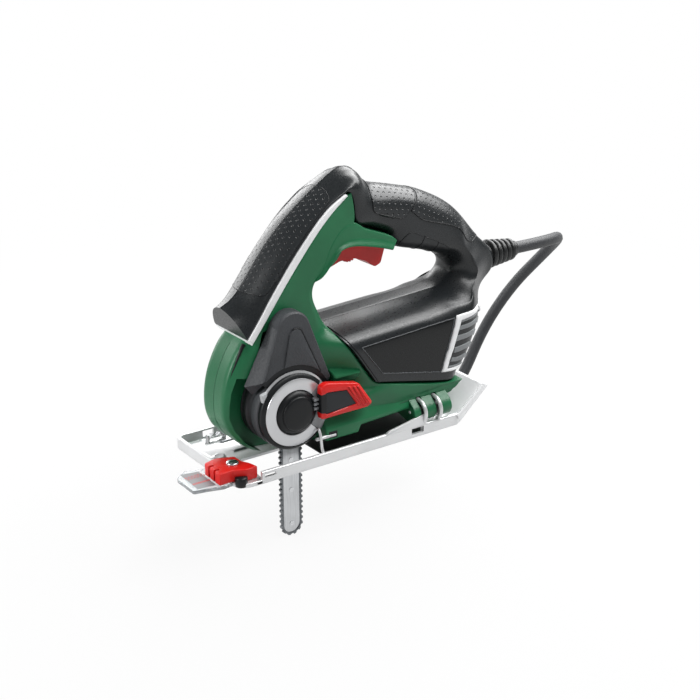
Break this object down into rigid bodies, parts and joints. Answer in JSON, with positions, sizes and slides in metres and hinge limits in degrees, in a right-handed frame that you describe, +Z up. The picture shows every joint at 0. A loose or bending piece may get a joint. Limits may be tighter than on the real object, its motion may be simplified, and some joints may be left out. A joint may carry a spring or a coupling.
{
  "type": "corded mini chain saw",
  "caption": "Corded hand saw with a loop handle, front grip bar, tilting sole plate and a short guide bar with a micro saw chain.",
  "frame": {"origin": "where the blade's centre line crosses the underside of the sole plate", "axes": "+X to the rear of the tool, +Y across it away from the blade's side, +Z up; the blade is in the plane Y = 0"},
  "size_m": [0.3906, 0.2705, 0.2509],
  "materials": {
    "green_body": "fine satin",
    "dark_body": "fine grain",
    "soft_grip": "dotted",
    "white_trim": "satin",
    "black_panel": "smooth",
    "grille": "satin",
    "gear_cover": "fine grain",
    "knob_ring": "satin",
    "black_plastic": "satin",
    "red_plastic": "smooth",
    "bar_steel": "brushed",
    "chain_steel": "ground",
    "bright_steel": "ground",
    "gear_steel": "machined",
    "sole_metal": "matt, pressed",
    "clear_window": "clear plastic",
    "rubber": "matt",
    "cord": "matt",
    "laminations": "stacked",
    "copper": "bare",
    "carbon": "matt",
    "cast_alloy": "cast"
  },
  "bodies": {
    "housing": {"front_housing_left": "green_body", "front_housing_right": "green_body", "rear_housing_left": "dark_body", "rear_housing_right": "dark_body", "front_grip": "dark_body", "front_grip_inlay": "soft_grip", "trim_strip": "white_trim", "handle_inlay_front": "soft_grip", "handle_inlay_rear": "soft_grip", "finger_rest": "soft_grip", "side_panels": "black_panel", "vent_frame": "white_trim", "vent_grille": "grille", "gear_case": "gear_cover", "gear_cover": "gear_cover", "cover_inlay": "gear_cover", "guide_bar": "bar_steel", "saw_chain": "chain_steel", "bar_rivets": "bright_steel", "gear_plates": "cast_alloy", "bearings": "bright_steel", "stator": "laminations", "end_shields": "cast_alloy", "brushes": "carbon", "brush_holders": "copper", "switch_module": "black_plastic", "trigger_spring": "bright_steel", "hinge_pins": "bright_steel", "housing_screws": "bright_steel", "strain_relief": "rubber", "power_cord": "cord", "cord_coil": "cord", "cord_tie": "black_plastic", "plug": "rubber", "plug_pins": "bright_steel"},
    "clamp": {"clamp_drum": "black_plastic", "clamp_ring": "knob_ring", "clamp_cap": "black_plastic", "lever_pin": "bright_steel"},
    "lever": {"clamp_lever": "red_plastic", "lever_panel": "black_plastic"},
    "armature": {"armature_shaft": "gear_steel", "motor_pinion": "gear_steel", "motor_fan": "black_plastic", "armature_core": "laminations", "commutator": "copper"},
    "lay": {"layshaft": "gear_steel", "layshaft_pinion": "gear_steel", "crown_gear": "gear_steel"},
    "drive": {"drive_shaft": "gear_steel", "drive_gear": "gear_steel", "drive_sprocket": "gear_steel"},
    "trigger": {"trigger": "red_plastic", "wheel_pin": "bright_steel"},
    "speed_wheel": {"trigger_thumbwheel": "red_plastic"},
    "sole": {"sole_plate": "sole_metal", "guide_spring": "bright_steel", "cut_guide": "red_plastic", "cut_guide_screw": "bright_steel", "cut_window": "clear_window"}
  },
  "joints": [
    {"name": "clamp_turn", "type": "hinge", "parent": "housing", "child": "clamp", "pos_m": [0, -0.004, 0.041], "axis": [0, -1, 0], "range_deg": [0, 90]},
    {"name": "lever_fold", "type": "hinge", "parent": "clamp", "child": "lever", "pos_m": [0.0195, -0.0128, 0.041], "axis": [0, 0, -1], "range_deg": [0, 90]},
    {"name": "armature_spin", "type": "hinge", "parent": "housing", "child": "armature", "pos_m": [0.1, 0.027, 0.058], "axis": [1, 0, 0], "continuous": true},
    {"name": "layshaft_spin", "type": "hinge", "parent": "housing", "child": "lay", "pos_m": [0.01967, 0.03, 0.058], "axis": [0, 1, 0], "continuous": true},
    {"name": "drive_spin", "type": "hinge", "parent": "housing", "child": "drive", "pos_m": [0, 0.03, 0.041], "axis": [0, 1, 0], "continuous": true},
    {"name": "trigger_squeeze", "type": "slide", "parent": "housing", "child": "trigger", "axis": [0, 0, 1], "range_m": [0, 0.005], "stiffness_N_per_m": 600, "springref_m": -0.004, "deforming": ["trigger_spring"]},
    {"name": "speed_wheel_turn", "type": "hinge", "parent": "trigger", "child": "speed_wheel", "pos_m": [0.0665, 0.027, 0.1363], "axis": [0, 1, 0], "range_deg": [-135, 135]},
    {"name": "sole_bevel", "type": "hinge", "parent": "housing", "child": "sole", "pos_m": [0.06, -0.009, 0.016], "axis": [-1, 0, 0], "range_deg": [0, 45]}
  ],
  "couplings": [
    {"joint": "layshaft_spin", "follows": "armature_spin", "ratio": -0.33333},
    {"joint": "drive_spin", "follows": "armature_spin", "ratio": 0.14815}
  ]
}
